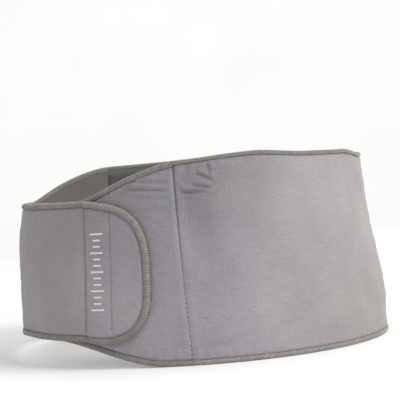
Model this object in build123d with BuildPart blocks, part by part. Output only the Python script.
from build123d import *
import os
from bisect import bisect
from math import cos, hypot, pi, sin

os.makedirs("parts", exist_ok=True)

# Lumbar support belt, fastened, standing on its lower rim.
# +Z up, -Y the wearer's front, +X the wearer's left. The origin is on the wearer's
# axis, level with the lower rim of the back. All sizes are in millimetres.
#
# A place on the belt is (along, z, offset): along runs round the loop at mid height from
# the closure's centre at the front towards the wearer's left, offset is outward from the
# outer face.

# ---- driving dimensions ----
BACK_HEIGHT = 160.0        # height of the back panel, hem to hem
MID = BACK_HEIGHT / 2
FRONT_TOP = 131.0          # upper hem of both wings at the front
FRONT_BOTTOM = 20.0        # lower hem of both wings at the front
FRONT_HEIGHT = FRONT_TOP - FRONT_BOTTOM
LOOP_A = 170.0             # half width of the loop at mid height, outer face
LOOP_B = 153.0             # half depth of the loop at mid height, outer face
FLARE = 0.0928             # outward lean of the wall per mm down (5.3 degrees)
TOP_TAPER = (75.0, 130.0)  # where the upper hem starts to rise, and over what length
BOTTOM_TAPER = (72.0, 112.0)  # the same for the fall of the lower hem
SEAM = 199.0               # wing to back seam, measured along the belt from the front
SEAM_GAP = 0.6

SHELL = 3.5                # foam and jersey laminate
HEM = 1.2                  # overlock thread outside the raw edge
HEM_LEG = 5.5              # how far the overlock reaches onto each face
HEM_REACH = HEM + HEM_LEG
HEM_THREAD = 0.4           # thickness of the overlock on a face
HEM_CLEAR = 0.3            # gap from the overlock to whatever stops short of it
FIT = 0.1                  # sewing clearance between a piece and the next
RAW_EDGE = HEM + FIT       # a panel's raw edge, inset from its hem

LINING = 1.0
LINING_OUT = -3.75
LINING_IN = LINING_OUT - LINING
LINING_CLEAR = 0.4         # lining to overlock
LAID_GAP = 0.15            # between the lining and what lies on it

# ---- developed coordinates ----
ARC_STEPS = 7200
ARC_STEP = 2 * pi / ARC_STEPS
ARC = [0.0]                # length round the loop at each step of the angle
for i in range(ARC_STEPS):
    angle = (i + 0.5) * ARC_STEP
    ARC.append(ARC[-1] + hypot(LOOP_A * cos(angle), LOOP_B * sin(angle)) * ARC_STEP)
PERIMETER = ARC[-1]
BACK_CENTRE = PERIMETER / 2


def angle_at(along):
    if along < 0:
        return -angle_at(-along)
    i = min(bisect(ARC, along) - 1, ARC_STEPS - 1)
    return (i + (along - ARC[i]) / (ARC[i + 1] - ARC[i])) * ARC_STEP


def axes_at(along):
    """Point on the outer face at mid height, outward normal, ruling, tangent."""
    angle = angle_at(along)
    point = Vector(LOOP_A * sin(angle), -LOOP_B * cos(angle), MID)
    normal = Vector(sin(angle) / LOOP_A, -cos(angle) / LOOP_B, 0).normalized()
    ruling = Vector(-FLARE * sin(angle), FLARE * cos(angle), 1)
    tangent = Vector(0, 0, 1).cross(normal)
    return point, normal, ruling, tangent


def place(along, z, offset):
    point, normal, ruling, _ = axes_at(along)
    return point + ruling * (z - MID) + normal * offset


def section_plane(along):
    """Plane across the belt: x outward, y up along the wall."""
    point, normal, ruling, _ = axes_at(along)
    return Plane(origin=point, x_dir=normal, z_dir=normal.cross(ruling))


def on_section(along, z, offset):
    """A place in the coordinates of section_plane(along)."""
    _, normal, ruling, _ = axes_at(along)
    lean = ruling.dot(normal)
    rise = (ruling - normal * lean).length
    return ((z - MID) * lean + offset, (z - MID) * rise)


def face_plane(along):
    """Plane tangent to the wall: x along the belt, y up, z outward."""
    point, normal, _, tangent = axes_at(along)
    return Plane(origin=point, x_dir=tangent, z_dir=normal)


def on_face(plane_along, along, z, offset):
    """A place in the coordinates of face_plane(plane_along)."""
    point, _, _, tangent = axes_at(plane_along)
    target = place(along, z, offset)
    return ((target - point).dot(tangent), target.Z - MID)


def rod_plane(along, z, offset):
    """Plane square to the wall's straight up-line: x along the belt, y inward, z up the wall."""
    _, _, ruling, tangent = axes_at(along)
    return Plane(origin=place(along, z, offset), x_dir=tangent, z_dir=ruling)


def up_wall(height):
    """Length along the leaning wall that gains this height."""
    return height * hypot(1, FLARE)


# ---- functions of the distance along the belt ----
def smooth(x):
    x = min(max(x, 0.0), 1.0)
    return x * x * (3 - 2 * x)


def hem_top(along):
    start, length = TOP_TAPER
    return FRONT_TOP + (BACK_HEIGHT - FRONT_TOP) * smooth((along - start) / length)


def hem_bottom(along):
    start, length = BOTTOM_TAPER
    return FRONT_BOTTOM * (1 - smooth((along - start) / length))


def level(value):
    return lambda along: value


def shifted(function, amount):
    return lambda along: function(along) + amount


def mirrored(function):
    return lambda along: function(-along)


OUTER_FACE = level(0.0)


# ---- sections and pieces ----
def run(start, end, spacing):
    """Evenly spaced stations, about this far apart."""
    count = max(2, round((end - start) / spacing))
    return [start + (end - start) * i / count for i in range(count + 1)]


def profile(along, corners):
    """One closed section of the belt, from its (z, offset) corners."""
    with BuildSketch(section_plane(along)) as section:
        with BuildLine():
            Polyline(*[on_section(along, z, offset) for z, offset in corners], close=True)
        make_face()
    return section.sketch.face()


def wall(stations, low, high, outer, inner):
    """Sections of a panel; low, high, outer and inner are functions of along."""
    return [
        profile(along, [
            (low(along), inner(along)),
            (low(along), outer(along)),
            (high(along), outer(along)),
            (high(along), inner(along)),
        ])
        for along in stations
    ]


def hem(stations, edge, up, face):
    """Sections of the overlock round one long edge: a narrow channel over the raw edge.
    up is 1 on an upper hem and -1 on a lower one; face is the panel's outer offset."""
    sections = []
    for along in stations:
        rim = edge(along)
        leg = rim - up * HEM_REACH
        web = rim - up * HEM
        thread_in = face(along) + FIT
        thread_out = thread_in + HEM_THREAD
        back_out = face(along) - SHELL - FIT
        back_in = back_out - HEM_THREAD
        sections.append(profile(along, [
            (leg, back_in), (rim, back_in), (rim, thread_out), (leg, thread_out),
            (leg, thread_in), (web, thread_in), (web, back_out), (leg, back_out),
        ]))
    return sections


def save(builder, name):
    part = builder.part
    part.label = name
    export_step(part, f"parts/{name}.step")


def save_loft(name, *section_lists):
    """Save a piece made of one loft for each list of sections."""
    with BuildPart() as piece:
        for sections in section_lists:
            loft(sections)
    save(piece, name)


# ---- back section ----
LOWER_RIM = -0.3           # lower hem's edge before it is cut flat
back_run = run(SEAM + SEAM_GAP / 2, PERIMETER - SEAM - SEAM_GAP / 2, spacing=42)

save_loft("back_shell", wall(
    back_run, level(RAW_EDGE), level(BACK_HEIGHT - RAW_EDGE), OUTER_FACE, level(-SHELL)))

# brushed lining inside the back, between the two overlocked hems
lining_low = HEM_REACH + LINING_CLEAR
save_loft("back_lining", wall(
    back_run, level(lining_low), level(BACK_HEIGHT - lining_low),
    level(LINING_OUT), level(LINING_IN)))

save_loft("back_hem_top", hem(back_run, level(BACK_HEIGHT), 1, OUTER_FACE))

# the lower hem is dressed flat, so the belt stands level on it
with BuildPart() as back_hem_bottom:
    loft(hem(back_run, level(LOWER_RIM), -1, OUTER_FACE))
    split(bisect_by=Plane.XY, keep=Keep.TOP)
save(back_hem_bottom, "back_hem_bottom")

# ---- crowned lumbar cushion at the centre of the back ----
PAD_HALF_WIDTH = 60.0
PAD_LOW = 22.0
PAD_HIGH = 138.0
PAD_THICK = 7.0
PAD_THIN = 2.0             # thickness at the two sides
PAD_RIM = 1.6              # thickness of the upper and lower rims
PAD_CROWN = 0.78           # part of the height that the full thickness takes
PAD_ROUND_MARGIN = 3       # the rounded outline would close this far past the sides
PAD_OUT = LINING_IN - LAID_GAP
PAD_MID = (PAD_LOW + PAD_HIGH) / 2


def pad_section(aside):
    """Section of the cushion, aside from the centre of the back."""
    spread = abs(aside) / (PAD_HALF_WIDTH + PAD_ROUND_MARGIN)
    half = (PAD_HIGH - PAD_LOW) / 2 * (1 - spread ** 4) ** 0.25
    bulge = (1 - (abs(aside) / PAD_HALF_WIDTH) ** 2) ** 0.5
    crown_in = PAD_OUT - PAD_THIN - (PAD_THICK - PAD_THIN) * bulge
    return profile(BACK_CENTRE + aside, [
        (PAD_MID - half, PAD_OUT - PAD_RIM),
        (PAD_MID - half, PAD_OUT),
        (PAD_MID + half, PAD_OUT),
        (PAD_MID + half, PAD_OUT - PAD_RIM),
        (PAD_MID + half * PAD_CROWN, crown_in),
        (PAD_MID - half * PAD_CROWN, crown_in),
    ])


pad_run = run(-PAD_HALF_WIDTH, PAD_HALF_WIDTH, spacing=10)
save_loft("lumbar_pad", [pad_section(aside) for aside in pad_run])

# ---- stays, each in its own sewn channel ----
# The channels are closed at the bottom and open at the top, so a stay pulls out upward.
STAY_WIDTH = 12.0
STAY_THICK = 1.2
STAY_LOW = 9.0
STAY_HIGH = 149.0
STAY_OFFSET = -7.05        # centre of the stay
STAY_POSITIONS = (-140.0, -85.0, 85.0, 140.0)   # from the back's centre, left positive
TIP_WIDTH = 13.2
TIP_THICK = 1.8
TIP_ROUND = 0.6
TIP_LENGTH = 12.0
TIP_WALL = 0.4             # plastic beyond the end of the stay
TIP_PLAY = 0.1             # by which the hollow in the tips exceeds the stay
CHANNEL_WIDTH = 21.0
CHANNEL_THICK = 3.8
CHANNEL_ROUND = 1.2
CHANNEL_LOW = 6.5
CHANNEL_HIGH = 152.0
CHANNEL_FLOOR = 1.5        # closed bottom of the channel
CAVITY_WIDTH = 14.0
CAVITY_THICK = 2.0
CAVITY_ROUND = 0.4
CAVITY_OVERRUN = 5         # the cut carries on past the open top
ROW_GAP = 1.4              # channel side to stitch row
ROW_INSET = 2              # channel end to stitch row end
ROW_DEPTH = 0.5            # centre of the row, inward of the lining


def make_stay(number, along):
    channel_length = up_wall(CHANNEL_HIGH - CHANNEL_LOW)
    stay_length = up_wall(STAY_HIGH - STAY_LOW)

    with BuildPart() as channel:
        with BuildSketch(rod_plane(along, CHANNEL_LOW, STAY_OFFSET)):
            RectangleRounded(CHANNEL_WIDTH, CHANNEL_THICK, CHANNEL_ROUND)
        extrude(amount=channel_length)
        with BuildSketch(rod_plane(along, CHANNEL_LOW + CHANNEL_FLOOR, STAY_OFFSET)):
            RectangleRounded(CAVITY_WIDTH, CAVITY_THICK, CAVITY_ROUND)
        extrude(amount=channel_length + CAVITY_OVERRUN, mode=Mode.SUBTRACT)
    save(channel, f"stay_channel_{number}")

    with BuildPart() as stay:
        with BuildSketch(rod_plane(along, STAY_LOW, STAY_OFFSET)):
            Rectangle(STAY_WIDTH, STAY_THICK)
        extrude(amount=stay_length)
    save(stay, f"stay_{number}")

    # dipped plastic tips on both ends of the stay
    with BuildPart() as tips:
        for end, length in ((STAY_LOW - TIP_WALL, TIP_LENGTH), (STAY_HIGH + TIP_WALL, -TIP_LENGTH)):
            with BuildSketch(rod_plane(along, end, STAY_OFFSET)):
                RectangleRounded(TIP_WIDTH, TIP_THICK, TIP_ROUND)
            extrude(amount=length)
        with BuildSketch(rod_plane(along, STAY_LOW - TIP_PLAY / 2, STAY_OFFSET)):
            Rectangle(STAY_WIDTH + TIP_PLAY, STAY_THICK + TIP_PLAY)
        extrude(amount=stay_length + TIP_PLAY, mode=Mode.SUBTRACT)
    save(tips, f"stay_tips_{number}")


for number, position in enumerate(STAY_POSITIONS, 1):
    make_stay(number, BACK_CENTRE - position)

# rows of lock stitch that hold the channels to the lining, one each side of each channel
with BuildPart() as channel_stitching:
    for position in STAY_POSITIONS:
        for side in (-1, 1):
            row = BACK_CENTRE - position + side * (CHANNEL_WIDTH / 2 + ROW_GAP)
            with BuildSketch(rod_plane(row, CHANNEL_LOW + ROW_INSET, LINING_IN - ROW_DEPTH)):
                RectangleRounded(0.9, 0.6, 0.2)
            extrude(amount=up_wall(CHANNEL_HIGH - CHANNEL_LOW - 2 * ROW_INSET))
save(channel_stitching, "channel_stitching")

# ---- blank care label, sewn inside near the left seam ----
LABEL_START, LABEL_END = 244, 270
LABEL_LOW, LABEL_HIGH = 12.0, 52.0
LABEL_THICK = 0.35
label_out = LINING_IN - LAID_GAP
save_loft("care_label", wall(
    run(LABEL_START, LABEL_END, spacing=9), level(LABEL_LOW), level(LABEL_HIGH),
    level(label_out), level(label_out - LABEL_THICK)))

# ---- raised thread of the two wing seams, carried on the back panel's side ----
SEAM_ROW_GAP = 1.4         # seam to thread
SEAM_ROW_LOW = 3           # thread's height above the rim before it is trimmed
SEAM_ROW_OFFSET = 0.4
for name, side in (("seam_thread_left", 1), ("seam_thread_right", -1)):
    with BuildPart() as seam_thread:
        with BuildSketch(rod_plane(side * (SEAM + SEAM_ROW_GAP), SEAM_ROW_LOW, SEAM_ROW_OFFSET)):
            RectangleRounded(1.2, 0.5, 0.2)
        extrude(amount=up_wall(BACK_HEIGHT - 2 * SEAM_ROW_LOW))
        # trim it clear of the two hems
        with BuildSketch(face_plane(side * SEAM)):
            with Locations((0, MID), (0, -MID)):
                Rectangle(14, 2 * (HEM_REACH + HEM_CLEAR))
        extrude(amount=6, both=True, mode=Mode.SUBTRACT)
    save(seam_thread, name)

# ---- left wing, the lower of the two at the front ----
LOWER_WING_END = -115.0    # hidden end of the left wing
left_run = run(LOWER_WING_END, SEAM - SEAM_GAP / 2, spacing=20)

save_loft("left_wing", wall(
    [LOWER_WING_END + RAW_EDGE] + left_run[1:],
    shifted(hem_bottom, RAW_EDGE), shifted(hem_top, -RAW_EDGE), OUTER_FACE, level(-SHELL)))

left_hem_run = [LOWER_WING_END + HEM_REACH + HEM_CLEAR] + left_run[1:]
# (along the belt, inward) corners of the overlock on the hidden end
POST_HALF = HEM_REACH / 2
END_POST = [
    (POST_HALF, -HEM_THREAD - FIT),
    (-POST_HALF, -HEM_THREAD - FIT),
    (-POST_HALF, SHELL + FIT + HEM_THREAD),
    (POST_HALF, SHELL + FIT + HEM_THREAD),
    (POST_HALF, SHELL + FIT),
    (HEM - POST_HALF, SHELL + FIT),
    (HEM - POST_HALF, -FIT),
    (POST_HALF, -FIT),
]
with BuildPart() as left_wing_hem:
    loft(hem(left_hem_run, hem_top, 1, OUTER_FACE))
    loft(hem(left_hem_run, hem_bottom, -1, OUTER_FACE))
    # upright overlock round the hidden end
    with BuildSketch(rod_plane(LOWER_WING_END + POST_HALF, FRONT_BOTTOM, 0)):
        with BuildLine():
            Polyline(*END_POST, close=True)
        make_face()
    extrude(amount=up_wall(FRONT_HEIGHT))
save(left_wing_hem, "left_wing_hem")

# ---- right wing, the upper of the two at the front ----
OVERLAP = 6.0              # how far the upper wing stands off the lower wing
OVERLAP_START = 74.0       # length over which the right wing steps outward
FLAP_HINGE = 117.4         # first stitch row, where the flap peels
HINGE_GAP = 0.5            # between the right wing and the flap


def step_out(along):
    """How far the right wing stands outside the left one."""
    return OVERLAP * smooth((along + SEAM) / OVERLAP_START)


right_run = run(-SEAM + SEAM_GAP / 2, FLAP_HINGE - HINGE_GAP / 2, spacing=19)
right_top = mirrored(hem_top)
right_bottom = mirrored(hem_bottom)

save_loft("right_wing", wall(
    right_run, shifted(right_bottom, RAW_EDGE), shifted(right_top, -RAW_EDGE),
    step_out, shifted(step_out, -SHELL)))

save_loft("right_wing_hem",
          hem(right_run, right_top, 1, step_out),
          hem(right_run, right_bottom, -1, step_out))

# ---- closure flap with a rounded end ----
FLAP_ROW = 142.4           # second stitch row
FLAP_CENTRE = 120.0        # start of the rounded end
FLAP_END = 174.5
FLAP_MIDDLE = 147.0        # where the outline's tangent plane touches
FLAP_Z = (FRONT_TOP + FRONT_BOTTOM) / 2
FLAP_HALF = FRONT_HEIGHT / 2
FLAP_REACH = FLAP_END - FLAP_CENTRE
ROUND_UPPER = 2.8          # superellipse powers of the end's upper and lower halves
ROUND_LOWER = 3.1
OUTLINE_STEPS = 16
CUT_DEPTH = 40             # reach of the outline each way through the flap
BLANK_MARGIN = 4           # extra height of the blanks the outline is cut from
OUTLINE_START = FLAP_HINGE - 8


def flap_edge(inset):
    """Points (along, z) round the flap's end, inset from its outer edge."""
    points = []
    for i in range(OUTLINE_STEPS + 1):
        angle = pi / 2 - pi * i / OUTLINE_STEPS
        power, sign = (ROUND_UPPER, 1) if angle > 0 else (ROUND_LOWER, -1)
        cosine, sine = abs(cos(angle)), abs(sin(angle))
        x = FLAP_REACH * cosine ** (2 / power)
        y = FLAP_HALF * sine ** (2 / power) * sign
        # outward normal of the rounded end
        normal_x = cosine ** (2 - 2 / power) / FLAP_REACH
        normal_y = sine ** (2 - 2 / power) / FLAP_HALF * sign
        length = hypot(normal_x, normal_y)
        points.append((FLAP_CENTRE + x - inset * normal_x / length,
                       FLAP_Z + y - inset * normal_y / length))
    return points


def on_flap(along, z):
    return on_face(FLAP_MIDDLE, along, z, OVERLAP - SHELL / 2)


def flap_outline(inset, start=OUTLINE_START):
    """Face of the flap's outline on its tangent plane, from start to the flap's end."""
    rim = [on_flap(*point) for point in flap_edge(inset)]
    first = on_flap(start, FLAP_Z + FLAP_HALF - inset)
    last = on_flap(start, FLAP_Z - FLAP_HALF + inset)
    with BuildSketch(face_plane(FLAP_MIDDLE)) as outline:
        with BuildLine():
            Line(first, rim[0])
            Spline(*rim, tangents=((1, 0), (-1, 0)))
            Line(rim[-1], last)
            Line(last, first)
        make_face()
    return outline.sketch.face()


def flap_layer(stations, outer, inner, inset, start=OUTLINE_START):
    """Builder of a curved sheet between two offsets, cut to the flap's outline."""
    with BuildPart() as layer:
        loft(wall(stations, level(FRONT_BOTTOM - BLANK_MARGIN), level(FRONT_TOP + BLANK_MARGIN),
                  level(outer), level(inner)))
        extrude(flap_outline(inset, start), amount=CUT_DEPTH, both=True, mode=Mode.INTERSECT)
    return layer


flap_run = run(FLAP_HINGE + HINGE_GAP / 2, FLAP_END + 6, spacing=14)
flap_inner = OVERLAP - SHELL
save(flap_layer(flap_run, OVERLAP, flap_inner, RAW_EDGE), "closure_flap")

# space the flap takes inside its overlock
flap_core = flap_layer([FLAP_HINGE - 4] + flap_run[1:], OVERLAP + FIT, flap_inner - FIT,
                       HEM, start=FLAP_HINGE - 12)
flap_hem_blank = flap_layer(flap_run, OVERLAP + FIT + HEM_THREAD,
                            flap_inner - FIT - HEM_THREAD, 0)
with BuildPart() as flap_hem:
    add(flap_hem_blank.part)
    add(flap_core.part, mode=Mode.SUBTRACT)
    extrude(flap_outline(HEM_REACH), amount=CUT_DEPTH, both=True, mode=Mode.SUBTRACT)
    # the overlock is worked in two runs that meet at the flap's tip
    with BuildSketch(face_plane(FLAP_MIDDLE)):
        with Locations((0, FLAP_Z - MID)):
            Rectangle(140, 0.1)
    extrude(amount=CUT_DEPTH, both=True, mode=Mode.SUBTRACT)
save(flap_hem, "flap_hem")

# ---- hook tapes on the flap's inner face, either side of the second stitch row ----
HOOK_OUT = 2.35
HOOK_IN = 0.6
HOOK_EDGE = 8.0            # hook tape to flap edge
HOOK_ROW_GAP = 0.6         # hook tape to second stitch row
for name, start, end in (
    ("hook_tape_inner", FLAP_HINGE + 1.2, FLAP_ROW - HOOK_ROW_GAP),
    ("hook_tape_end", FLAP_ROW + HOOK_ROW_GAP, FLAP_END + 4),
):
    save(flap_layer(run(start, end, spacing=9), HOOK_OUT, HOOK_IN, HOOK_EDGE), name)

# the two upright stitch rows that hold the hook tapes, seen on the flap's outer face
FLAP_ROWS = (              # place along the belt, clearance to the flap's edges
    (FLAP_HINGE + 1.6, HOOK_EDGE),
    (FLAP_ROW, HOOK_EDGE + 3),
)
with BuildPart() as flap_stitching:
    for row, clear in FLAP_ROWS:
        with BuildSketch(rod_plane(row, FRONT_BOTTOM + clear, OVERLAP + 0.3)):
            RectangleRounded(0.9, 0.4, 0.15)
        extrude(amount=up_wall(FRONT_HEIGHT - 2 * clear))
save(flap_stitching, "flap_stitching")

# ---- plain printed setting scale: a column of ticks, every third one long ----
TICK_COUNT = 13
TICK_CENTRE = 130.0
TICK_LOW = 44.0            # lower edge of the lowest tick
TICK_PITCH = 5.0
TICK_HEIGHT = 1.4
TICK_HALF_LONG = 6.5
TICK_HALF_SHORT = 3.8
TICK_OUT = OVERLAP + 0.2
TICK_IN = OVERLAP + 0.08


def tick(i):
    half = TICK_HALF_SHORT if i % 3 else TICK_HALF_LONG
    low = TICK_LOW + TICK_PITCH * i
    return wall([TICK_CENTRE - half, TICK_CENTRE, TICK_CENTRE + half],
                level(low), level(low + TICK_HEIGHT), level(TICK_OUT), level(TICK_IN))


save_loft("flap_scale", *[tick(i) for i in range(TICK_COUNT)])
